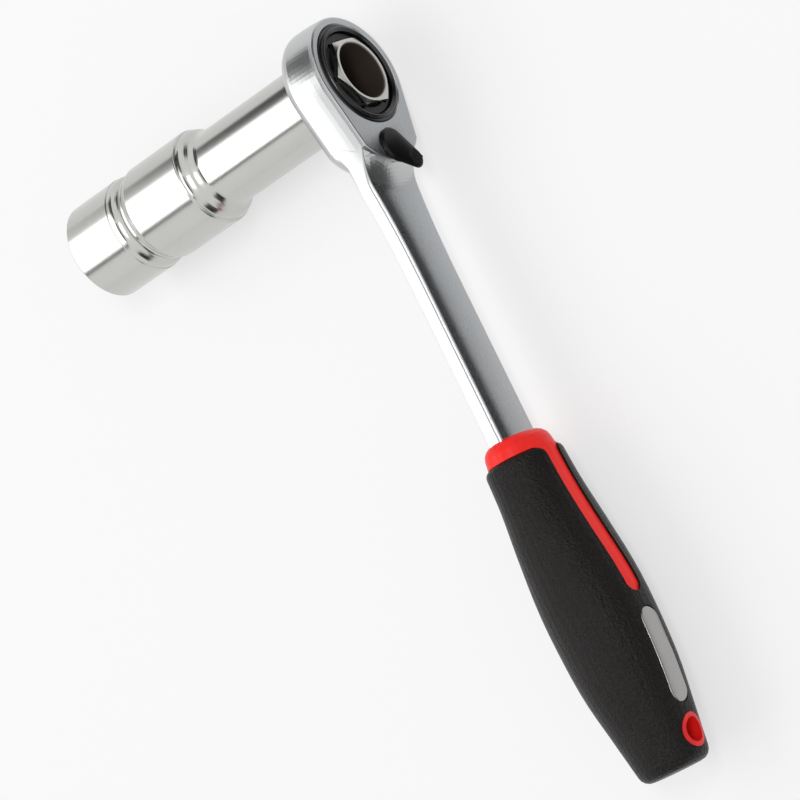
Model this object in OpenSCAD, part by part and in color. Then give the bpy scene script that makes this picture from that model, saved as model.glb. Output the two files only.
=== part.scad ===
// Reversible ratchet wrench with a pass-through drive and a long 19 mm socket.
// Units are millimetres.  The drive axis is Y and the origin is on it, midway
// through the head.  The handle runs along -X, the socket along +Y, and the
// wrench lies flat with +Z up.  The lever side of the head faces -Y.

/* [Socket] */
// Size of the bolt head that the socket takes, across flats
bolt_af = 19; // [17:0.5:19]
// Diameter of the socket's working end
socket_d = 25.9; // [25.6:0.1:27]
// Diameter of the long neck between the head and the working end
neck_d = 20.3; // [20:0.1:21.5]
// Diameter of the hole that runs right through the socket
through_d = 14.74; // [13:0.02:15]
// Distance from the head's middle to the end of the socket
socket_reach = 86.9; // [84:0.1:100]
// Depth of the hexagon in the working end
bolt_depth = 28; // [20:1:30]

/* [Drive] */
// Size of the hexagon that drives the socket, across flats
drive_af = 17; // [16.8:0.1:17.1]
// Number of teeth on the ring gear
teeth = 72; // [72:1:72]
// Outside diameter of the ring gear over its teeth
gear_d = 25.7; // [25.5:0.05:25.8]
// Turn of the hexagon at rest, from the handle's line, in degrees
hex_turn = 35; // [0:1:60]

/* [Head] */
// Outside diameter of the round head
head_d = 31.8; // [31.6:0.1:32.2]
// Thickness of the head from face to face
head_t = 13; // [13:0.1:13.6]
// Angle of each straight side of the neck to the handle's line, in degrees
neck_taper = 15.3; // [15:0.1:15.8]
// Rounding of the head's back edge, measured inwards
back_round = 6.2; // [5.6:0.1:6.4]

/* [Shank] */
// Thickness of the flat shank
shank_t = 4; // [3.6:0.1:4.4]
// Width of the shank along its straight stretch
shank_w = 15.2; // [14:0.1:15.6]
// Distance from the drive axis to the front end of the handle
shank_reach = 95.3; // [90:0.1:100]

/* [Lever] */
// Distance from the drive axis to the lever's pivot
lever_x = 19.8; // [19.7:0.05:19.9]
// Length of the lever from its pivot to its tip
lever_len = 8.8; // [8:0.1:10]
// Height of the lever above the head's face
lever_h = 1.5; // [1.4:0.1:2.2]
// Travel of the lever from one working position to the other, in degrees
lever_travel = 90; // [80:1:96]
// Travel of the pawl between its two working positions, in degrees
pawl_travel = 10; // [10:1:10]

/* [Handle] */
// Length of the whole handle, collar included
handle_len = 87.4; // [86:0.2:90]
// Length of the red collar that shows in front of the grip
collar_len = 5.1; // [3.6:0.1:6]
// Thickness of the soft grip over the hard core
grip_wall = 1.7; // [1.4:0.1:2]
// Half width of the stripe along the front of the grip
stripe_hw = 2.8; // [2.4:0.1:3.2]
// Length of the stripe in front of its round end
stripe_len = 40.7; // [34:0.1:41]
// Diameter of the hanging hole
hang_d = 6; // [5:0.1:6.4]

/* [Hidden] */
$fn = 96;
far = 400;
fit = 0.05;

// Head: faces, main bore, and the arc that ends its front face
head_r = head_d / 2;
face_y = -head_t / 2;
back_y = head_t / 2;
face_round = 0.5;
head_bulge = 0.55;
back_round_y = 4.6;
back_pull = 1;
pull_y = -3.6;
cover_depth = 0.08;
cover_lap = 0.12;
fade_x0 = 15.5;
fade_x1 = 26;
step_x = -9.4;
step_r = 14.8;
gear_r = gear_d / 2;
tooth_h = 0.56;
journal_r = 13.2;
bore_r = journal_r + fit;
lip_y = 4.6;
rear_r = 11.3;
front_ring_in = 11.25;
front_ring_y = face_y + 1.5;
bead_h = 0.8;
snap_y = face_y + 1.9;
snap_wire = 0.33;
gear_shoulder_y = face_y + 2.3;
tooth_y0 = face_y + 3.4;
tooth_y1 = 3.9;
rear_end_y = back_y - 0.3;
washer_y = tooth_y1 + 0.13;
washer_t = 0.52;
seal_y = 5.6;
seal_wire = 0.29;
seal_r = rear_r - 0.27;
grip_ring_y = 0.5;
grip_ring_wire = 0.3;
grip_ring_r = drive_af / sqrt(3) + grip_ring_wire + 0.015;

// Socket: its front end in the drive, and the bevel round its hole there
front_end = face_y - 1.5;
bore_chamfer = 0.3;

// Pawl pocket, pawl and spindle, about the lever's pivot
pocket_y0 = face_y + 3.5;
pocket_y1 = 2.3;
pawl_y0 = pocket_y0 + 0.5;
pawl_y1 = pocket_y1 - 0.1;
spindle_r = 2.5;
tail_r = 1.5;
tail_y = 4.2;
hub_r = 3.3;
pocket_half = [[-8, 9], [-12.4, 9.5], [-16, 8], [-21.1, 3.4]];
wing_half = [[-9.6, 7.5], [-12.3, 8.5], [-15.4, 7.2], [-20.8, 3.1]];
wing_in = 4.8;
tooth_play = 0.06;
ball_r = 1.1;
ball_reach = 2.25;
ball_y = (pawl_y0 + pawl_y1) / 2;
track_r = ball_reach + ball_r + 0.15;
clip_y = pocket_y0 + 0.05;
clip_t = 0.35;
lever_angle = lever_travel / 2;
lever_r = 4.6;
lever_hub_h = 0.9;
lever_tip_r = 2.7;
lever_tail_y = face_y - 0.8;
pin_r = 1.6;
pin_y = face_y - 0.4;
seat_wire = 0.2;
seat_y = face_y + 1.5;

// Shank: it widens into the head between two distances from the drive axis, and
// both its faces sweep up to the head's, [radius, rise, where the rise starts]
shank_y = shank_t / 2;
flare_x0 = 21.2;
flare_x1 = 60;
flare_hw = (head_r - flare_x0 * sin(neck_taper)) / cos(neck_taper);
flare_power = 2.9;
front_sweep = [7.1, 4, step_r - head_bulge - 0.04];
back_sweep = [2.2, 2.2, 13.1];
front_edge_round = [0.25, 0.9];
back_edge_round = [1.6, 0.35];
crown = 0.03;
edge_x0 = 20.5;
edge_x1 = 28;
across = 16;
tang_len = 52;
tang_hw = 6;
tang_t = 3.8;

// Handle: its end, and the stations [distance from the grip's front end,
// half thickness along Y, half width along Z, middle along Y] that it passes through
grip_x0 = -shank_reach - collar_len;
stations = [[-12, 7.3, 9.3, 0], [-6, 8.05, 10.15, -0.05], [0, 8.9, 11, -0.1], [10, 9.35, 11.75, -0.2],
            [20, 10.4, 12.95, -0.28], [34, 12.2, 13.2, -0.4], [45, 12.6, 12.85, -0.4],
            [58, 11.85, 12.5, -0.43], [70, 10.2, 10.6, -0.55], [84, 8.4, 8.5, -0.65], [94, 8, 8.6, -0.7]];
section_power = 2.15;
sides = 36;
end_round = 2.5;
front_round = 1.6;
collar_inset = 1.08;
collar_round = 2.7;
joint_gap = 0.02;
mouth_r = 3;
recess = 0.6;
plate_x0 = -145;
plate_x1 = -169;
plate_hw = 3.4;
plate_t = 0.8;
pad_t = 0.3;
hang_x = -175.7;
eyelet_r = 4.1;

// ---- outlines ---------------------------------------------------------------

// Points of an arc in a plane, from one angle to another
function arc(cx, cy, r, a0, a1, n = 8) =
    [for (i = [0:n]) [cx + r * cos(a0 + (a1 - a0) * i / n), cy + r * sin(a0 + (a1 - a0) * i / n)]];

// How far the straight sides of the head's plan run before the step's arc cuts them
function corner_run(inset, pull) =
    let (rs = step_r - inset - pull, side = head_r - inset + step_x * sin(neck_taper))
    sqrt(rs * rs - side * side) - step_x * cos(neck_taper);

// Plan of the head, (x, z), drawn in by some amount: the round head, straight
// sides tangent to it, and the arc that ends its faces, pulled in by some more
function head_plan(inset, pull) =
    let (r = head_r - inset, rs = step_r - inset - pull, run = corner_run(inset, pull),
         corner = [-r * sin(neck_taper) - run * cos(neck_taper), r * cos(neck_taper) - run * sin(neck_taper)],
         turn = atan2(corner[1], corner[0] - step_x))
    concat(arc(0, 0, r, -90 - neck_taper, 90 + neck_taper, 54), arc(step_x, 0, rs, turn, 360 - turn, 24));

// Catmull-Rom curve through four values
function spline(a, b, c, d, t) =
    0.5 * (2 * b + (c - a) * t + (2 * a - 5 * b + 4 * c - d) * t * t + (3 * b - a - 3 * c + d) * t * t * t);

function station_before(s, i = 1) =
    i >= len(stations) - 3 || s < stations[i + 1][0] ? i : station_before(s, i + 1);

// Half thickness (k = 1), half width (k = 2) or middle (k = 3) of the handle at a distance s
function handle_at(s, k) =
    let (i = station_before(s), p = stations[i], q = stations[i + 1], t = (s - p[0]) / (q[0] - p[0]))
    spline(stations[i - 1][k], p[k], q[k], stations[i + 2][k], t);

// How far a rounded end draws the surface in, at a distance d from that end
function drawn_in(d, r) = d >= r ? 0 : r - sqrt(max(0, r * r - (r - d) * (r - d)));

// Height of the handle's front along its middle line, at x
function handle_front(x) = handle_at(grip_x0 - x, 3) - handle_at(grip_x0 - x, 1);

// Rounded section of the handle in its YZ plane
function handle_section(a, b) =
    [for (i = [0:sides - 1])
        let (t = 360 * i / sides, c = cos(t), s = sin(t), p = 2 / section_power)
        [a * sign(c) * pow(abs(c), p), b * sign(s) * pow(abs(s), p)]];

// Half width of the shank at a distance from the drive axis
function shank_hw(d) =
    d < flare_x0 ? (head_r - d * sin(neck_taper)) / cos(neck_taper)
    : d > flare_x1 ? shank_w / 2
    : shank_w / 2 + (flare_hw - shank_w / 2) * pow(1 - (d - flare_x0) / (flare_x1 - flare_x0), flare_power);

// ---- shared shapes ----------------------------------------------------------

// Turns a profile of [radius, y] points about the Y axis
module turned(points) rotate([-90, 0, 0]) rotate_extrude() polygon(points);

// Raises a plan drawn as (x, z) between two heights along Y
module raised(y0, y1)
    rotate([-90, 0, 0]) translate([0, 0, y0]) linear_extrude(y1 - y0) mirror([0, 1]) children();

// Round bar along Y
module rod(r, y0, y1) rotate([-90, 0, 0]) translate([0, 0, y0]) cylinder(r = r, h = y1 - y0);

// Ring of round wire about the Y axis
module wire_ring(r, wire, y) rotate([-90, 0, 0]) translate([0, 0, y]) rotate_extrude()
    translate([r, 0]) circle(r = wire, $fn = 24);

module hexagon(af) circle(r = af / sqrt(3), $fn = 6);

// Skin over cross sections, each a list of 3-D points that goes anticlockwise
// as seen from in front of the first
module skin(rings) {
    n = len(rings[0]);
    m = len(rings);
    polyhedron(
        points = [for (r = rings) each r],
        faces = concat(
            [[for (i = [n - 1:-1:0]) i]],
            [for (k = [0:m - 2], i = [0:n - 1])
                [k * n + i, k * n + (i + 1) % n, (k + 1) * n + (i + 1) % n, (k + 1) * n + i]],
            [[for (i = [0:n - 1]) (m - 1) * n + i]]));
}

// Handle form between two distances behind the grip's front end, drawn in by
// a given amount and rounded at both ends
module handle_form(s0, s1, inset, round0, round1, steps) {
    ends0 = [for (i = [0:3]) s0 + round0 * (1 - cos(90 * i / 4))];
    middle = [for (i = [0:steps]) s0 + round0 + (s1 - round1 - s0 - round0) * i / steps];
    ends1 = [for (i = [3:-1:0]) s1 - round1 * (1 - cos(90 * i / 4))];
    skin([for (s = concat(ends0, middle, ends1))
        let (pull = inset + drawn_in(s - s0, round0) + drawn_in(s1 - s, round1))
        [for (p = handle_section(handle_at(s, 1) - pull, handle_at(s, 2) - pull))
            [grip_x0 - s, p[0] + handle_at(s, 3), p[1]]]]);
}

// Plan of the stripe and of the plate: a strip with round ends
module strip(x0, x1, hw) hull() {
    translate([x0 - hw, 0]) circle(r = hw, $fn = 32);
    translate([x1 + hw, 0]) circle(r = hw, $fn = 32);
}

// Layer that follows the front of the handle, between two depths below it
module front_layer(x0, x1, hw, depth0, depth1) {
    n = 10;
    xs = [for (i = [0:n]) x0 + (x1 - x0) * i / n];
    translate([0, 0, -hw]) linear_extrude(2 * hw) polygon(concat(
        [for (x = xs) [x, handle_front(x) + depth0]],
        [for (i = [n:-1:0]) [xs[i], handle_front(xs[i]) + depth1]]));
}

// Plan of the stripe with the rounded mouth where it leaves the collar
module stripe_plan(hw) {
    strip(grip_x0 + 6, grip_x0 - stripe_len, hw);
    difference() {
        translate([grip_x0 - mouth_r, -hw - mouth_r]) square([2 * mouth_r, 2 * (hw + mouth_r)]);
        for (side = [-1, 1]) translate([grip_x0 - mouth_r, side * (hw + mouth_r)])
            circle(r = mouth_r, $fn = 48);
    }
}

// ---- head -------------------------------------------------------------------

// How far the bulging wall of the head is drawn in at a height y in front of
// its widest level, which is where the back's rounding begins
wide_y = back_y - back_round_y;
function wall_in(y) = head_bulge * pow(max(0, wide_y - y) / (wide_y - face_y), 2);

// How far the arc that ends the head is pulled in at a height y
function pull_at(y) = back_pull * max(0, min(1, 1 - y / pull_y));

// Forged head: a slightly bulging wall, rounded a little at its front edge and
// far round at its back, where it ends sooner, under the shank's sweep
module head_block() skin([for (e = concat(
    [for (a = [90:-30:0]) [head_bulge + face_round * (1 - cos(a)), face_y + face_round * (1 - sin(a)), 0]],
    [for (y = [1.5 * pull_y, pull_y, 0.67 * pull_y, 0.33 * pull_y, 0]) [wall_in(y), y, pull_at(y)]],
    [for (a = [0:11.25:90]) [back_round * (1 - cos(a)), back_y - back_round_y * (1 - sin(a)),
        back_pull * (1 - sin(a) / 2)]]))
    [for (p = head_plan(e[0], e[2])) [p[0], e[1], p[1]]]]);

// Height of the shank's face above its middle, at a distance d from the arc's centre
function swept(d, sweep) =
    let (r = sweep[0], x1 = sweep[2] + sqrt(r * r - pow(r - sweep[1], 2)), t = x1 - max(d, sweep[2]))
    shank_y + (t <= 0 ? 0 : r - sqrt(max(0, r * r - t * t)));

function edge_radius(d, radii) = radii[0] + (radii[1] - radii[0])
    * max(0, min(1, (d - edge_x0) / (edge_x1 - edge_x0)));

// How far the back rounding draws the head's walls in at a depth y
function round_in(y) =
    let (u = max(0, min(1, (y - wide_y) / back_round_y))) back_round * (1 - sqrt(1 - u * u));

// How far the shank's sides are drawn in at a distance d: they carry on the back
// rounding of the head and let it fade out, and where they are still inside the
// head, whose corner comes sooner at the back, they lie a little below its wall
function hidden_in(d, y) =
    let (drop = round_in(y), inset = wall_in(y) + drop,
         corner = (head_r - inset) * sin(neck_taper) + corner_run(inset, pull_at(y)) * cos(neck_taper),
         fade = max(0, min(1, (fade_x1 - d) / (fade_x1 - fade_x0))))
    cover_depth * max(0, min(1, (corner + cover_lap - d) / 0.8)) + drop * fade * fade * (3 - 2 * fade);

// Half of the shank's slightly crowned section at a distance d from the drive
// axis, from the middle of its back over the rounded edge to the middle of its front
function shank_half(d) =
    let (hw = shank_hw(d), rb = edge_radius(d, back_edge_round), rf = edge_radius(d, front_edge_round),
         level = function (z, sweep)
             swept(norm([d + step_x, z]), sweep) + crown * (1 - pow(z / hw, 2)),
         yb = level(hw - rb, back_sweep), yf = level(hw - rf, front_sweep), n = across / 2,
         side = concat(
             arc(yb - rb, hw - rb, rb, 0, 90, 4),
             [for (i = [1:9]) [yb - rb + (rf - yf - yb + rb) * i / 10, hw]],
             arc(rf - yf, hw - rf, rf, 90, 180, 4)))
    concat(
        [for (i = [0:n - 1]) let (z = (hw - rb) * i / n) [level(z, back_sweep), z]],
        [for (p = side) [p[0], p[1] - wall_in(p[0]) - hidden_in(d, p[0])]],
        [for (i = [n - 1:-1:0]) let (z = (hw - rf) * i / n) [-level(z, front_sweep), z]]);

// Flat shank with rounded edges, widening and rising into the head
module shank_bar() {
    rise = concat([for (i = [0:11]) 14.8 + 0.45 * i], [for (i = [1:13]) 19.75 + 0.8 * i]);
    run = [for (i = [1:8]) 30.15 + (flare_x1 - 30.15) * i / 8];
    skin([for (d = concat(rise, run, [shank_reach + 3]))
        let (half = shank_half(d), n = len(half))
        [for (p = concat(half, [for (i = [n - 2:-1:1]) [half[i][0], -half[i][1]]])) [-d, p[0], p[1]]]]);
}

// Tang inside the handle, with two holes that key the moulded core to it
module tang() difference() {
    translate([-shank_reach - tang_len, -tang_t / 2, -tang_hw]) cube([tang_len + 2, tang_t, 2 * tang_hw]);
    for (x = [-shank_reach - 16, -shank_reach - 40]) translate([x, 0, 0]) rod(2.5, -far / 2, far / 2);
}

// Plan that is the same on both sides of the handle's line
module both_sides(half) polygon(concat(half, [for (i = [len(half) - 1:-1:0]) [half[i][0], -half[i][1]]]));

// Room for the pawl, milled through the main bore
module pawl_pocket() raised(pocket_y0, pocket_y1) {
    translate([-lever_x, 0]) circle(r = hub_r + 0.25);
    both_sides(pocket_half);
}

module head_and_shank() color("silver") difference() {
    union() {
        head_block();
        shank_bar();
        tang();
    }
    turned([[0, face_y - 1], [bore_r + 0.35, face_y - 1], [bore_r + 0.35, face_y], [bore_r, face_y + 0.35],
            [bore_r, snap_y - 0.4], [bore_r + 0.5, snap_y - 0.4], [bore_r + 0.5, snap_y + 0.4],
            [bore_r, snap_y + 0.4], [bore_r, lip_y], [rear_r + fit, lip_y], [rear_r + fit, back_y + 1],
            [0, back_y + 1]]);
    pawl_pocket();
    translate([-lever_x, 0, 0]) {
        rod(spindle_r + fit, face_y - 1, pocket_y0 + 1);
        rod(tail_r + fit, pocket_y1 - 1, tail_y + 0.2);
    }
}

// ---- drive ------------------------------------------------------------------

// Black cover ring, let into the face, with a raised bead round its opening
module front_ring() color("#222222") turned(concat(
    [[front_ring_in, front_ring_y], [journal_r + 0.02, front_ring_y], [journal_r + 0.02, face_y + 0.25],
     [journal_r - 0.25, face_y], [12.5, face_y]],
    arc(11.95, face_y - bead_h + 0.5, 0.5, -20, -110, 5),
    [[front_ring_in, face_y - bead_h + 0.5]]));

// Split ring of spring wire that keeps the gear in the bore
module gear_snap_ring() color("silver") difference() {
    wire_ring(bore_r + 0.05, snap_wire, snap_y);
    translate([0, face_y, -1]) cube([20, head_t, 2]);
}

function tooth_points(r0, r1) = [for (i = [0:teeth - 1], k = [0:3])
    let (a = 360 / teeth * (i + [-0.46, -0.06, 0.06, 0.46][k]), r = (k == 0 || k == 3) ? r0 : r1)
    [-r * cos(a), r * sin(a)]];

// Ring-shaped groove about the Y axis, of half width hw
module groove(r0, r1, y, hw) turned([[r0, y - hw], [r1, y - hw], [r1, y + hw], [r0, y + hw]]);

// Ring gear: toothed band, two plain journals and a through hexagon
module ring_gear() color("#2b2b2b") difference() {
    union() {
        raised(tooth_y0, tooth_y1) polygon(tooth_points(gear_r - tooth_h, gear_r));
        turned([[0, face_y + 0.45], [front_ring_in - 0.35, face_y + 0.45],
                [front_ring_in - fit, face_y + 0.75], [front_ring_in - fit, gear_shoulder_y],
                [journal_r, gear_shoulder_y],
                [journal_r, tooth_y0 - 0.1], [gear_r - tooth_h, tooth_y0 - 0.1],
                [gear_r - tooth_h, tooth_y1], [rear_r, tooth_y1 + 0.1], [rear_r, rear_end_y],
                [0, rear_end_y]]);
    }
    rotate([0, -hex_turn, 0]) raised(-far / 2, far / 2) {
        hexagon(drive_af + 0.1);
        for (i = [0:5]) rotate(60 * i) translate([drive_af / sqrt(3) - 0.35, 0]) circle(r = 0.7, $fn = 24);
    }
    turned([[0, face_y], [drive_af / 2 + 1.2, face_y], [drive_af / 2, face_y + 1.2], [0, face_y + 1.2]]);
    groove(9, grip_ring_r + grip_ring_wire + 0.04, grip_ring_y, grip_ring_wire + 0.05);
    groove(seal_r - seal_wire - 0.02, 12, seal_y, seal_wire + 0.01);
}

// Hardened washer between the gear and the lip of the bore
module thrust_washer() color("gainsboro")
    turned([[rear_r + 0.15, washer_y], [bore_r - 0.1, washer_y], [bore_r - 0.1, washer_y + washer_t],
            [rear_r + 0.15, washer_y + washer_t]]);

// Rubber ring that seals the back of the gear
module rear_seal() color("#181818") wire_ring(seal_r, seal_wire, seal_y);

// Rubber ring in the gear that grips the corners of the socket's hexagon
module socket_grip_ring() color("#181818") wire_ring(grip_ring_r, grip_ring_wire, grip_ring_y);

// ---- reversing mechanism ----------------------------------------------------

module pawl_blank() {
    translate([-lever_x, 0]) circle(r = hub_r);
    both_sides(wing_half);
}

// Turns a plan about the lever's pivot
module about_pivot(a) translate([-lever_x, 0]) rotate(a) translate([lever_x, 0]) children();

// Double-ended pawl: each wing is toothed where it lies when it is engaged
module pawl() color("dimgray") difference() {
    raised(pawl_y0, pawl_y1) difference() {
        about_pivot(-pawl_travel / 2) difference() {
            pawl_blank();
            intersection() {
                circle(r = gear_r + 0.55);
                square([far, 2 * wing_in], center = true);
            }
        }
        for (a = [0, -pawl_travel])
            about_pivot(a) polygon(tooth_points(gear_r - tooth_h + tooth_play, gear_r + tooth_play));
    }
    translate([-lever_x, 0, 0]) {
        rod(spindle_r + fit, -far / 2, far / 2);
        intersection() {
            rod(track_r, ball_y - ball_r - 0.1, ball_y + ball_r + 0.1);
            translate([0.2, -far / 2, -far / 2]) cube(far);
        }
    }
}

module in_lever_place() translate([-lever_x, 0, 0]) rotate([0, 180 - lever_angle, 0]) children();

// Thumb lever, drawn with its tail along +x: a round hub that rises to the
// tail, which stands off the face and has four ridges along it
module reverse_lever() color("#1c1c1c") in_lever_place() difference() {
    union() {
        raised(face_y - 0.4, face_y - 0.1) circle(r = lever_r, $fn = 64);
        hull() {
            raised(face_y - 0.5, face_y - 0.35) circle(r = lever_r, $fn = 64);
            raised(face_y - lever_hub_h, face_y - 0.5) circle(r = lever_r - 0.55, $fn = 64);
            translate([lever_len - lever_tip_r, 0, 0]) {
                raised(face_y - lever_h + 0.4, lever_tail_y) circle(r = lever_tip_r, $fn = 48);
                raised(face_y - lever_h, face_y - lever_h + 0.4) circle(r = lever_tip_r - 0.4, $fn = 48);
            }
        }
        for (z = [-1.5, -0.5, 0.5, 1.5]) hull() for (x = [lever_len - 3.9, lever_len - 1])
            translate([x, face_y - lever_h + 0.08, z]) sphere(r = 0.3, $fn = 12);
    }
    rod(pin_r + 0.02, pin_y, far);
}

// Steel spindle under the lever; its cross hole holds the spring and the ball
module lever_spindle() color("silver") in_lever_place() difference() {
    union() {
        rod(pin_r, pin_y + 0.05, face_y + 0.3);
        rod(spindle_r, face_y + 0.1, pawl_y1);
        rod(tail_r, 0, tail_y);
    }
    groove(spindle_r - 2 * seat_wire, 3, seat_y, 0.3);
    groove(2, 3, clip_y + clip_t / 2, clip_t / 2 + 0.02);
    translate([-4, ball_y, 0]) rotate([0, 90, 0]) cylinder(r = ball_r + 0.04, h = 5.8, $fn = 48);
}

module spindle_seal() color("#181818")
    translate([-lever_x, 0, 0]) wire_ring(spindle_r + 0.01 - seat_wire, seat_wire, seat_y);

// Open clip in the spindle's groove, under the front wall of the head
module spindle_clip() color("dimgray") in_lever_place() raised(clip_y, clip_y + clip_t) difference() {
    circle(r = 3.5, $fn = 64);
    circle(r = 2.02, $fn = 64);
    translate([0, -1.5]) square([6, 3]);
}

// Coil spring in the spindle's cross hole
module detent_spring() color("gainsboro") {
    coil_r = 0.8;
    wire_r = 0.16;
    coils = 4;
    per_turn = 12;
    x_in = 1.7;
    x_out = -ball_reach + ball_r + 0.35;
    in_lever_place() skin([for (i = [0:coils * per_turn])
        let (a = 360 * i / per_turn, x = x_in + (x_out - x_in) * i / (coils * per_turn))
        [for (k = [0:5]) let (r = coil_r + wire_r * cos(60 * k))
            [x + wire_r * sin(60 * k), ball_y + r * cos(a), r * sin(a)]]]);
}

module detent_ball() color("gainsboro")
    in_lever_place() translate([-ball_reach, ball_y, 0]) sphere(r = ball_r, $fn = 48);

// ---- socket -----------------------------------------------------------------

// Outside of the socket behind its driving hexagon: neck, curved shoulder,
// body, groove and bead, working end, each placed from the mouth
shoulder_at = 46.3;
body_at = 41.2;
groove_at = 22.4;
groove_end = 19.4;
bead_at = 16.4;
end_at = 15.4;
shoulder_r = 12.45;
groove_r = 11.95;

function socket_profile() =
    let (r0 = neck_d / 2, r1 = socket_d / 2, y = socket_reach,
         run = shoulder_at - body_at, rise = shoulder_r - r0,
         bend = (run * run + rise * rise) / (4 * rise), turn = asin(run / 2 / bend))
    concat(
        [[0, back_y], [r0 - 0.3, back_y], [r0, back_y + 0.3]],
        arc(r0 + bend, y - shoulder_at, bend, 180, 180 - turn, 6),
        arc(shoulder_r - bend, y - body_at, bend, -turn, 0, 6),
        arc(r1 - 0.5, y - body_at + 0.6, 0.5, -60, 0, 3),
        arc(r1 - 1.6, y - groove_at, 1.6, 0, 50, 5),
        [[groove_r, y - groove_end - 0.6], [groove_r, y - groove_end]],
        arc(r1 - 2.9, y - bead_at, 2.7, -55, 0, 6),
        [[r1 - 0.2, y - end_at], [r1, y - end_at + 0.15], [r1, y - 0.6], [r1 - 0.5, y], [0, y]]);

module socket() color("lightgray") difference() {
    union() {
        turned(socket_profile());
        intersection() {
            rotate([0, -hex_turn, 0]) raised(front_end, back_y + 1) hexagon(drive_af - 0.05);
            turned([[0, front_end], [drive_af / 2 - 0.2, front_end], [drive_af / sqrt(3), front_end + 0.8],
                    [drive_af / sqrt(3), back_y + 1], [0, back_y + 1]]);
        }
    }
    rod(through_d / 2, -far / 2, far / 2);
    turned([[0, front_end - 0.1], [through_d / 2 + bore_chamfer + 0.1, front_end - 0.1],
            [through_d / 2 - 0.1, front_end + bore_chamfer + 0.1], [0, front_end + bore_chamfer + 0.1]]);
    rotate([0, -hex_turn, 0]) raised(socket_reach - bolt_depth, far) hexagon(bolt_af + 0.1);
    turned([[0, socket_reach - bolt_depth - 2], [through_d / 2, socket_reach - bolt_depth - 2],
            [bolt_af / 2, socket_reach - bolt_depth], [0, socket_reach - bolt_depth]]);
    turned([[0, socket_reach - 1.4], [bolt_af / 2, socket_reach - 1.4],
            [bolt_af / sqrt(3) + 0.1, socket_reach + 0.1], [0, socket_reach + 0.1]]);
}

// ---- handle -----------------------------------------------------------------

// Hard core moulded round the tang: collar in front, raised stripe along the front
module handle_core() color("#e23227") difference() {
    union() {
        handle_form(-collar_len, -joint_gap, collar_inset, collar_round, 0.1, 3);
        handle_form(-0.6, handle_len - collar_len - 4, grip_wall, 0.3, 3, 18);
        intersection() {
            handle_form(0, stripe_len + 1, recess, 0.1, 0.1, 12);
            raised(-far / 2, 0) stripe_plan(stripe_hw - joint_gap);
        }
    }
    translate([-shank_reach - tang_len - 0.1, -tang_t / 2 - 0.02, -tang_hw - 0.02])
        cube([tang_len - 3, tang_t + 0.04, 2 * tang_hw + 0.04]);
    translate([-shank_reach - 3.2, -shank_y - 0.05, -shank_w / 2 - 0.05])
        cube([6, shank_t + 0.1, shank_w + 0.1]);
    translate([hang_x, 0, 0]) rod(eyelet_r + 0.02, -far / 2, far / 2);
}

// Soft grip moulded over the core, open along the stripe
module grip() color("#262424") difference() {
    handle_form(0, handle_len - collar_len, 0, front_round, end_round, 20);
    handle_form(-0.6, handle_len - collar_len - 4 + joint_gap, grip_wall - 0.03, 0.3, 3, 18);
    raised(-far / 2, 0) stripe_plan(stripe_hw);
    intersection() {
        front_layer(plate_x0 + 1, plate_x1 - 1, plate_hw + 1, -2, plate_t + pad_t + 0.25);
        raised(-far / 2, 0) strip(plate_x0, plate_x1, plate_hw + 0.02);
    }
    translate([hang_x, 0, 0]) rod(eyelet_r + 0.02, -far / 2, far / 2);
}

// Metal plate let into the front of the grip, with a raised rim
module inlay_plate() color("darkgray") {
    intersection() {
        front_layer(plate_x0, plate_x1, plate_hw, 0.25, 0.25 + plate_t);
        raised(-far / 2, 0) strip(plate_x0, plate_x1, plate_hw);
    }
}

module plate_pad() color("#303030") intersection() {
    front_layer(plate_x0, plate_x1, plate_hw, 0.25 + plate_t, 0.24 + plate_t + pad_t);
    raised(-far / 2, 0) strip(plate_x0 - 0.3, plate_x1 + 0.3, plate_hw - 0.3);
}

// Liner of the hanging hole, a little proud of the handle all round
module hang_eyelet() color("#c8342c") difference() {
    intersection() {
        translate([hang_x, 0, 0]) rod(eyelet_r, -far / 2, far / 2);
        handle_form(grip_x0 - hang_x - 6, grip_x0 - hang_x + 6, -0.1, 0.05, 0.05, 8);
    }
    translate([hang_x, 0, 0]) rod(hang_d / 2, -far, far);
}

head_and_shank();
front_ring();
gear_snap_ring();
ring_gear();
thrust_washer();
rear_seal();
socket_grip_ring();
pawl();
reverse_lever();
lever_spindle();
spindle_seal();
spindle_clip();
detent_spring();
detent_ball();
socket();
handle_core();
grip();
inlay_plate();
plate_pad();
hang_eyelet();
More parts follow.
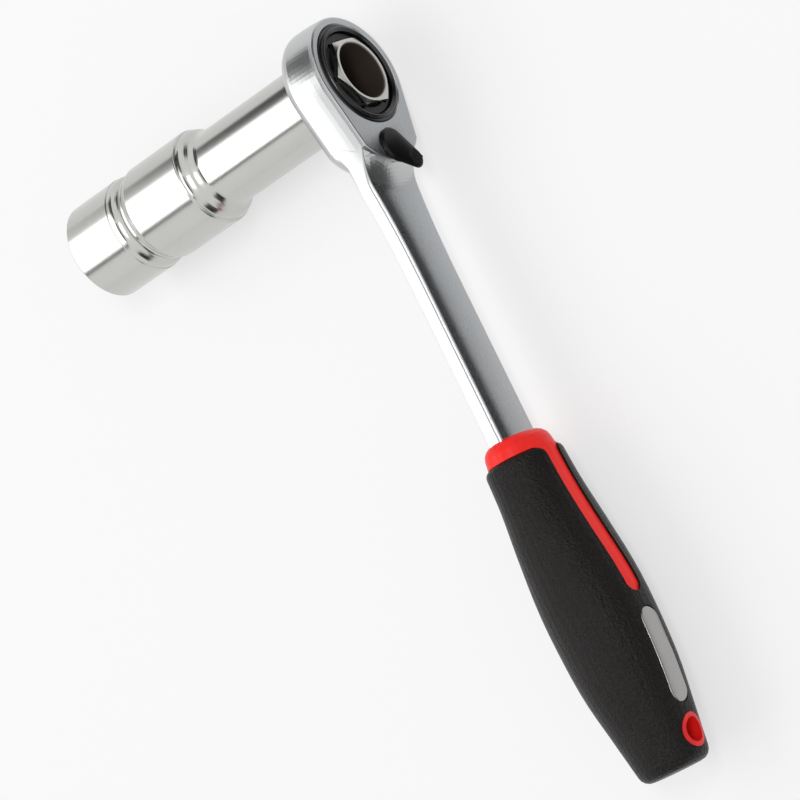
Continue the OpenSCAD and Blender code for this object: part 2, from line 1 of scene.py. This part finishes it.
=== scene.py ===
import math
import bpy
from mathutils import Euler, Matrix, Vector


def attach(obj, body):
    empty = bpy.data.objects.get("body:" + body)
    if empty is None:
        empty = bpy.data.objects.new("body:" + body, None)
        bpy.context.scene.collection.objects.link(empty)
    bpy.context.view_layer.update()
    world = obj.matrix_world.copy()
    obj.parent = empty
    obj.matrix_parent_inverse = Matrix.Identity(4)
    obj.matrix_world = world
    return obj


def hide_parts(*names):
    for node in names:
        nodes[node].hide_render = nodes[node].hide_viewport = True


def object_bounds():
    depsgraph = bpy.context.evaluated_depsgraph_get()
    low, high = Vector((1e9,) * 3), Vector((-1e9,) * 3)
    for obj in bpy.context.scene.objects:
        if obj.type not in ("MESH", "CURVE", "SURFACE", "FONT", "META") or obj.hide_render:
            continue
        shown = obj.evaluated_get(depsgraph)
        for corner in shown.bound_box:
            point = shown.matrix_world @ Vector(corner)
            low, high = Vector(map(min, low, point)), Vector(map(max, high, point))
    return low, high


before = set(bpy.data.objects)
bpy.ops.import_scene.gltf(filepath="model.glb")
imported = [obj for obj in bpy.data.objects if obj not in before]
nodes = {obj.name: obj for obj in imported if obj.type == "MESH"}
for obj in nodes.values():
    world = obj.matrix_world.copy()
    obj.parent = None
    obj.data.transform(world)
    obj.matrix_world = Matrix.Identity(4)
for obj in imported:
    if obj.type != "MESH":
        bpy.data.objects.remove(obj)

cad_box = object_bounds()

# ---- Head and shank --------------------------------------------------------------
# One steel forging with a nickel-chrome skin.  Its walls are polished, its two
# flat faces are left satin and painted a darker chrome as shade, and the shank's
# faces are brushed along their length.


class Wire:
    """The end of a shader link, which can stand in sums and products."""

    def __init__(self, tree, end=None):
        self.tree = tree
        self.end = end

    def node(self, kind, values, out=0, stops=(), **settings):
        """Adds a node: its settings first, then the values or links of its sockets."""
        made = self.tree.nodes.new(kind)
        for name, value in settings.items():
            setattr(made, name, value)
        for stop, (place, level) in zip(range(len(stops)), stops):
            ramp = made.color_ramp.elements
            point = ramp[stop] if stop < len(ramp) else ramp.new(place)
            point.position = place
            point.color = (level, level, level, 1)
        for name, value in values.items():
            if isinstance(value, Wire):
                self.tree.links.new(value.end, made.inputs[name])
            else:
                made.inputs[name].default_value = value
        return Wire(self.tree, made.outputs[out])

    def maths(self, operation, first, second):
        return self.node("ShaderNodeMath", {0: first, 1: second}, operation=operation)

    def __add__(self, other):
        return self.maths("ADD", self, other)

    def __sub__(self, other):
        return self.maths("SUBTRACT", self, other)

    def __rsub__(self, other):
        return self.maths("SUBTRACT", other, self)

    def __mul__(self, other):
        return self.maths("MULTIPLY", self, other)

    def __truediv__(self, other):
        return self.maths("DIVIDE", self, other)

    def __pow__(self, other):
        return self.maths("POWER", self, other)

    __radd__ = __add__
    __rmul__ = __mul__

    def at_least(self, low):
        return self.maths("MAXIMUM", self, low)

    def between(self, low, high):
        """0 below one value, 1 above the other, and a smooth rise between."""
        return self.node("ShaderNodeMapRange", {"Value": self, "From Min": low, "From Max": high},
                         interpolation_type="SMOOTHSTEP")

    def band(self, low, high, soft):
        """1 between two values and 0 outside, with soft ends."""
        return self.between(low - soft, low) * (1 - self.between(high, high + soft))

    def blend(self, first, second):
        """A colour that goes from the first to the second as this value goes from 0 to 1."""
        return self.node("ShaderNodeMix", {0: self, 6: first, 7: second}, out=2, data_type="RGBA")

    def part(self, letter):
        """One coordinate of a vector."""
        return self.node("ShaderNodeSeparateXYZ", {"Vector": self}, out=letter)

    def scaled(self, x, y, z):
        """A vector stretched by its own amount along each axis."""
        return self.node("ShaderNodeMapping", {"Vector": self, "Scale": (x, y, z)})

    def grain(self, per_metre, detail=2.0):
        """Soft noise, so many lumps to the metre."""
        return self.node("ShaderNodeTexNoise",
                         {"Vector": self, "Scale": per_metre, "Detail": detail})

    def length(self):
        """How long a vector is."""
        return self.node("ShaderNodeVectorMath", {0: self}, out="Value", operation="LENGTH")

    def rings(self, per_metre, detail):
        """Soft noise along one measure, such as the marks that a lathe leaves."""
        return self.node("ShaderNodeTexNoise",
                         {"W": self, "Scale": per_metre, "Detail": detail}, noise_dimensions="1D")


class Finish:
    """A material with constant values on its shader and wires for what varies.

    Its wires are in metres, in the part's own place, and its bumps too.
    """

    def __init__(self, name, **constants):
        self.look = bpy.data.materials.new(name)
        self.look.use_nodes = True
        self.tree = self.look.node_tree
        self.shader = self.tree.nodes["Principled BSDF"]
        for socket, value in constants.items():
            self.shader.inputs[socket.replace("_", " ")].default_value = value
        self.start = Wire(self.tree)
        self.place = self.start.node("ShaderNodeTexCoord", {}, out="Object")
        self.facing = self.start.node("ShaderNodeTexCoord", {}, out="Normal")

    def feed(self, socket, wire):
        self.tree.links.new(wire.end, self.shader.inputs[socket])

    def bump(self, height, distance, strength=1.0):
        self.feed("Normal", self.start.node(
            "ShaderNodeBump", {"Height": height, "Distance": distance, "Strength": strength}))

    def dress(self, *names):
        for name in names:
            nodes[name].data.materials.clear()
            nodes[name].data.materials.append(self.look)


def paint(red, green, blue):
    """A colour written in the usual 0 to 255 steps."""
    return tuple((c / 255 / 12.92 if c < 11 else ((c / 255 + 0.055) / 1.055) ** 2.4)
                 for c in (red, green, blue)) + (1,)


CHROME = (0.56, 0.57, 0.57, 1)
CHROME_DEEP = (0.53, 0.54, 0.545, 1)
CHROME_FLAT_SHADED = (0.43, 0.445, 0.46, 1)
HALF_SHANK = 0.0076
HALF_NECK = 0.0118
NECK_FROM, NECK_TO = 0.021, 0.060
NECK_CURVE = 2.9
CROWN = 0.00069
CROWN_FROM, CROWN_TO, CROWN_FADE = 0.026, 0.096, 0.004
BRUSH_DEPTH = 0.000006
forging = Finish("forging", Metallic=1.0)
turn = forging.facing.part("Y")
flat = (turn * turn).between(0.9, 0.985)
cloudy = forging.place.grain(160)
brushed = forging.place.scaled(0.03, 1, 1).grain(9000, 3)
# The two flat faces take a darker chrome than the walls: painted shade, besides their satin
# roughness.
forging.feed("Base Color", flat.blend(cloudy.blend(CHROME_DEEP, CHROME), CHROME_FLAT_SHADED))
forging.feed("Roughness", 0.27 + 0.05 * cloudy + flat * (0.06 * brushed - 0.05))
# The shank's two faces are slightly crowned across their width
down = 0 - forging.place.part("X")
neck = ((NECK_TO - down) / (NECK_TO - NECK_FROM)).at_least(0.0)
half = HALF_SHANK + (HALF_NECK - HALF_SHANK) * neck ** NECK_CURVE
across = forging.place.part("Z") / half
crown = (across * across) ** 2.0 * down.band(CROWN_FROM, CROWN_TO, CROWN_FADE)
marks = flat * brushed + 0.4 * forging.place.grain(700)
forging.bump(BRUSH_DEPTH * marks - CROWN * flat * crown, 1.0)
forging.dress("head_and_shank")

# ---- Ring gear -------------------------------------------------------------------
# The toothed drive ring, machined from bar and blacked in hot salts, with a faint
# lathe mark on its turned faces.
gear_black = Finish("gear_black", Metallic=0.0, Specular_IOR_Level=0.30)
turned = gear_black.place.scaled(1, 0, 1).length().rings(9000, 1.0)
gear_black.feed("Base Color",
                gear_black.place.grain(500).blend(paint(5, 5, 6), paint(13, 12, 12)))
gear_black.feed("Roughness", 0.28 + 0.16 * turned)
gear_black.bump(turned, 0.000004)
gear_black.dress("ring_gear")

# ---- Front ring ------------------------------------------------------------------
# Cover ring with a raised bead, turned and blacked like the gear but polished
# a little more where the bead stands proud.
ring_black = Finish("ring_black", Metallic=0.0, Specular_IOR_Level=0.60)
BEAD_FOOT, BEAD_TOP = 0.0062, 0.0068
bead = (0 - ring_black.place.part("Y")).between(BEAD_FOOT, BEAD_TOP)
ring_black.feed("Base Color",
                ring_black.place.grain(600).blend(paint(6, 6, 7), paint(13, 13, 13)))
ring_black.feed("Roughness", 0.30 - 0.08 * bead + 0.08 * ring_black.place.grain(1500))
ring_black.bump(ring_black.place.grain(5000), 0.000004)
ring_black.dress("front_ring")

# ---- Small steel parts inside the head -------------------------------------------
# Washer, snap ring, clip, spindle, spring, ball and pawl: ground or drawn steel,
# oiled, with fine scratches from the grinding wheel.
BRIGHT = (0.56, 0.55, 0.53, 1)
BRIGHT_WORN = (0.44, 0.43, 0.41, 1)
steel = Finish("bright_steel", Metallic=1.0)
scratch = steel.place.scaled(1, 12, 1).grain(2500, 4)
steel.feed("Base Color", steel.place.grain(420).blend(BRIGHT_WORN, BRIGHT))
steel.feed("Roughness", 0.20 + 0.20 * scratch)
steel.bump(scratch, 0.000003)
steel.dress("gear_snap_ring", "thrust_washer", "pawl", "lever_spindle", "spindle_clip",
            "detent_spring", "detent_ball")

# ---- Rubber rings and the pad ----------------------------------------------------
# O-rings in the head and on the spindle, the ring that holds the socket, and the
# foam pad under the plate: black rubber with a dull bloom.
rubber = Finish("seal_rubber", Metallic=0.0)
bloom = rubber.place.grain(900, 4)
rubber.feed("Base Color", bloom.blend(paint(22, 22, 22), paint(38, 37, 36)))
rubber.feed("Roughness", 0.55 + 0.25 * bloom)
rubber.bump(rubber.place.grain(6000), 0.00001)
rubber.dress("rear_seal", "socket_grip_ring", "spindle_seal", "plate_pad")

# ---- Reversing lever -------------------------------------------------------------
# Thumb lever with ridges on its tail, cast in zinc and painted with a satin
# black powder whose skin has a fine orange peel.
lever = Finish("lever_black", Metallic=0.0, Specular_IOR_Level=0.30)
peel = lever.place.grain(2600, 1)
lever.feed("Base Color", lever.place.grain(350).blend(paint(5, 5, 6), paint(11, 11, 12)))
lever.feed("Roughness", 0.26 + 0.08 * peel)
lever.bump(peel, 0.000002)
lever.dress("reverse_lever")

# ---- Socket ----------------------------------------------------------------------
# Long socket turned from bar and chromed, satin with fine turning lines.  The
# chrome doesn't reach far into the bore, which stays brown from the hardening.
BORE_SIDE = 0.0074
CHROME_REACH = 0.0004
SOCKET_CHROME = (0.57, 0.57, 0.55, 1)
SOCKET_CHROME_DEEP = (0.53, 0.53, 0.51, 1)
BORE_BROWN = (0.070, 0.052, 0.043, 1)
socket = Finish("socket_chrome")
out_from_axis = socket.place.scaled(1, 0, 1).length()
lines = (socket.place.part("Y") + out_from_axis).rings(7000, 2.0)
satin = socket.place.grain(2600, 3)
plating = socket.place.grain(120).blend(SOCKET_CHROME_DEEP, SOCKET_CHROME)
inside = 1 - out_from_axis.between(BORE_SIDE, BORE_SIDE + CHROME_REACH)
socket.feed("Base Color", inside.blend(plating, BORE_BROWN))
socket.feed("Metallic", 1 - 0.6 * inside)
socket.feed("Roughness", 0.165 + 0.03 * lines + 0.04 * satin + 0.25 * inside)
socket.bump(lines + 0.4 * satin, 0.0000015)
socket.dress("socket")

# ---- Handle core -----------------------------------------------------------------
# Hard red nylon moulded on the shank's tang.  It shows as the collar and as the
# stripe in the slot of the grip, with the soft shine of a textured mould.
RED = paint(252, 38, 28)
RED_DEEP = paint(244, 30, 24)
core = Finish("core_red", Metallic=0.0, Specular_IOR_Level=0.30)
core.feed("Base Color", core.place.grain(240).blend(RED_DEEP, RED))
core.feed("Roughness", 0.36 + 0.10 * core.place.grain(1800))
core.bump(core.place.grain(3200, 1), 0.000018)
core.dress("handle_core")

# ---- Grip ------------------------------------------------------------------------
# Soft black rubber moulded over the core.  Its skin has the pebbled grain of
# leather, a little shinier on top of the pebbles than between them, and its colour
# has painted shade in the creases and painted light on the pebble tops.
PEBBLES_PER_METRE = 1600
PEBBLE_STRAY = 0.0011
PEBBLE_DEPTH = 0.0003
GRIP_DARK = paint(3, 2, 2)
GRIP_WORN_AND_PEBBLE_LIT = paint(30, 26, 24)
grip = Finish("grip_black", Metallic=0.0, Specular_IOR_Level=0.20)
swirl = grip.place.node("ShaderNodeTexNoise",
                        {"Vector": grip.place, "Scale": 700, "Detail": 2.0}, out="Color")
wander = grip.place.node("ShaderNodeVectorMath",
                         {0: swirl, 1: (PEBBLE_STRAY,) * 3, 2: grip.place},
                         operation="MULTIPLY_ADD")
between_pebbles = grip.place.node(
    "ShaderNodeTexVoronoi", {"Vector": wander, "Scale": PEBBLES_PER_METRE, "Smoothness": 0.5},
    out="Distance", feature="SMOOTH_F1")
crease = grip.place.node(
    "ShaderNodeTexNoise", {"Vector": grip.place, "Scale": 2300, "Detail": 3.0, "Distortion": 0.7})
pebbles = (1 - between_pebbles) * 0.6 + crease * 0.9
rub = grip.place.grain(60)
# Colour follows the pebble height: painted shade between the pebbles and painted light on their
# tops, plus random wear from the broad rub.
grip.feed("Base Color", (0.5 * pebbles + 0.3 * rub).blend(GRIP_DARK, GRIP_WORN_AND_PEBBLE_LIT))
grip.feed("Roughness", 0.42 - 0.10 * pebbles + 0.06 * rub)
grip.bump(pebbles, PEBBLE_DEPTH)
grip.dress("grip")

# ---- Plate in the grip -----------------------------------------------------------
# Thin stainless plate stuck in a recess of the grip, brushed along its length.
# The CAD plate's edges are rolled over for the bright line around it.
RIM = 0.0005
STEEL = (0.45, 0.44, 0.43, 1)
STEEL_DULL = (0.40, 0.39, 0.38, 1)
bpy.ops.object.select_all(action="DESELECT")
inlay = nodes["inlay_plate"].copy()
inlay.data = nodes["inlay_plate"].data.copy()
inlay.name = "plate_with_rim"
bpy.context.scene.collection.objects.link(inlay)
inlay.select_set(True)
bpy.context.view_layer.objects.active = inlay
bpy.ops.object.mode_set(mode="EDIT")
bpy.ops.mesh.select_all(action="SELECT")
bpy.ops.mesh.remove_doubles(threshold=0.00001)
bpy.ops.mesh.dissolve_limited(angle_limit=math.radians(3))
bpy.ops.object.mode_set(mode="OBJECT")
rim = inlay.modifiers.new("rim", "BEVEL")
rim.width = RIM
rim.segments = 4
rim.limit_method = "ANGLE"
rim.angle_limit = math.radians(50)
bpy.ops.object.modifier_apply(modifier="rim")
bpy.ops.object.shade_smooth_by_angle(angle=math.radians(30))
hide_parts("inlay_plate")
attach(inlay, "wrench")
plate = Finish("plate_metal", Metallic=1.0)
stroke = plate.place.scaled(0.02, 1, 1).grain(8000, 3)
plate.feed("Base Color", plate.place.grain(90).blend(STEEL_DULL, STEEL))
plate.feed("Roughness", 0.22 + 0.14 * stroke)
plate.bump(stroke, 0.000004)
plate.dress("inlay_plate")
inlay.data.materials.clear()
inlay.data.materials.append(plate.look)

# ---- Hanging eyelet --------------------------------------------------------------
# Bush of the same red nylon pressed through the end of the grip.  It lies in the
# handle's surface at both ends.
eyelet = Finish("eyelet_red", Metallic=0.0, Specular_IOR_Level=0.45)
eyelet.feed("Base Color", eyelet.place.grain(400).blend(paint(222, 24, 24), paint(236, 40, 38)))
eyelet.feed("Roughness", 0.34 + 0.10 * eyelet.place.grain(1800))
eyelet.bump(eyelet.place.grain(3200, 1), 0.000018)
eyelet.dress("hang_eyelet")

# ---- Floor -----------------------------------------------------------------------
# Plain pale table that the wrench lies on.  To the rays by which things are seen
# it glows a little, which leaves the shadow a light one.
GLOW = 0.97
GLOW_SHARE = 0.6


def rays_seen(start):
    """1 for the rays by which something is seen, directly, in a mirror or through glass."""
    rays = [start.node("ShaderNodeLightPath", {}, out=name)
            for name in ("Is Camera Ray", "Is Glossy Ray", "Is Transmission Ray")]
    return (rays[0] + rays[1] + rays[2]).between(0.0, 1.0)


FLOOR_Z = cad_box[0][2]
FLOOR_SIZE = 6
bpy.ops.object.select_all(action="DESELECT")
bpy.ops.mesh.primitive_plane_add(size=FLOOR_SIZE, location=(0, 0, FLOOR_Z))
floor = bpy.context.object
floor.name = "floor"
table = Finish("floor", Roughness=0.9)
table.feed("Base Color", table.place.grain(3).blend((0.90, 0.90, 0.90, 1), (0.91, 0.91, 0.91, 1)))
glow = table.start.node("ShaderNodeEmission", {"Color": (1, 1, 1, 1), "Strength": GLOW})
both = table.start.node("ShaderNodeMixShader", {0: GLOW_SHARE * rays_seen(table.start), 2: glow})
table.tree.links.new(table.shader.outputs[0], both.end.node.inputs[1])
table.tree.links.new(both.end, table.tree.nodes["Material Output"].inputs["Surface"])
floor.data.materials.append(table.look)

# ---- Light -----------------------------------------------------------------------
# A large soft box behind and above the wrench, a smaller one over its front, and
# pale surroundings.  Black cards around the large box, low at both ends and on the
# floor in front show only in reflections, and draw the dark lines in the chrome.
MIDDLE = Vector((-0.07, 0.03, 0))


def hang(thing, azimuth, elevation, far, aside=0.0, above=0.0):
    """Turns a thing to face the wrench from a direction, and shifts it in its plane."""
    a, e = math.radians(azimuth), math.radians(elevation)
    way = Vector((math.cos(a) * math.cos(e), math.sin(a) * math.cos(e), math.sin(e)))
    turn = way.to_track_quat("Z", "Y")
    thing.rotation_euler = turn.to_euler()
    thing.location = MIDDLE + far * way + turn @ Vector((aside, above, 0))


# name, azimuth, elevation, distance, width, height, shift to the side, radiance
LAMPS = [("soft_box", 82, 51, 1.10, 1.22, 0.72, -0.09, 1.9),
         ("fill_box", -86, 62, 1.10, 0.50, 0.20, 0.0, 11.0)]
for name, azimuth, elevation, far, wide, high, aside, radiance in LAMPS:
    lamp = bpy.data.lights.new(name, "AREA")
    lamp.shape = "RECTANGLE"
    lamp.size = wide
    lamp.size_y = high
    lamp.energy = radiance * math.pi * wide * high
    box = bpy.data.objects.new(name, lamp)
    bpy.context.scene.collection.objects.link(box)
    hang(box, azimuth, elevation, far, aside)
    box.visible_camera = False

card_black = Finish("card_black", Roughness=0.9)
card_black.feed("Base Color", card_black.place.grain(5).blend((0.008, 0.008, 0.008, 1),
                                                              (0.012, 0.012, 0.012, 1)))


def black_card(name, wide, high):
    """A black card at the origin, seen only in reflections and selected for its placing."""
    bpy.ops.object.select_all(action="DESELECT")
    bpy.ops.mesh.primitive_plane_add(size=1)
    made = bpy.context.object
    made.name = name
    made.scale = (wide, high, 1)
    made.data.materials.append(card_black.look)
    made.visible_camera = made.visible_diffuse = made.visible_shadow = False
    return made


# name, azimuth, elevation, distance, width, height, shift to the side and up
CARDS = [("lip_right", 25, 34, 1.00, 0.42, 0.90, 0.0, 0.0),
         ("lip_below", 82, 51, 1.09, 0.70, 0.16, -0.20, -0.45),
         ("lip_left", 82, 51, 1.09, 0.20, 0.90, 0.625, 0.0),
         ("lip_above", 82, 51, 1.09, 0.90, 0.39, 0.05, 0.555),
         ("card_left", 176, 16, 0.70, 0.62, 0.42, 0.0, 0.0),
         ("card_right", -42, 8, 0.70, 0.55, 0.24, 0.0, 0.0)]
for name, azimuth, elevation, far, wide, high, aside, above in CARDS:
    hang(black_card(name, wide, high), azimuth, elevation, far, aside, above)
    bpy.ops.object.transform_apply()

# name, and the card's two ends and two sides on the floor
FLOOR_CARDS = [("card_front", -0.36, 0.24, -0.032, -0.48),
               ("card_shank", -0.100, -0.012, -0.0155, -0.031)]
CARD_LIFT = 0.0006
for name, x0, x1, y0, y1 in FLOOR_CARDS:
    card = black_card(name, x1 - x0, y0 - y1)
    card.location = ((x0 + x1) / 2, (y0 + y1) / 2, FLOOR_Z + CARD_LIFT)
    bpy.ops.object.transform_apply()

world = bpy.data.worlds.new("world")
bpy.context.scene.world = world
world.use_nodes = True
AMBIENT = 0.5
shine = AMBIENT + (1 - AMBIENT) * rays_seen(Wire(world.node_tree))
backdrop = world.node_tree.nodes["Background"]
backdrop.inputs["Color"].default_value = (1, 1, 1, 1)
world.node_tree.links.new(shine.end, backdrop.inputs["Strength"])

# ---- Camera ----------------------------------------------------------------------
# A long lens above the lever side of the head, rolled so that the handle runs
# down to the right and the socket out to the left.
LENS, SENSOR = 166.80, 36
CAMERA_AT = (-0.20799, -0.48587, 0.72250)
CAMERA_TURN = (-9.9277, 34.9419, -121.7998)
camera_data = bpy.data.cameras.new("camera")
camera_data.lens = LENS
camera_data.sensor_width = SENSOR
camera = bpy.data.objects.new("camera", camera_data)
bpy.context.scene.collection.objects.link(camera)
camera.location = CAMERA_AT
camera.rotation_euler = Euler([math.radians(a) for a in CAMERA_TURN], "XYZ")
bpy.context.scene.camera = camera
bpy.context.scene.view_settings.view_transform = "Standard"
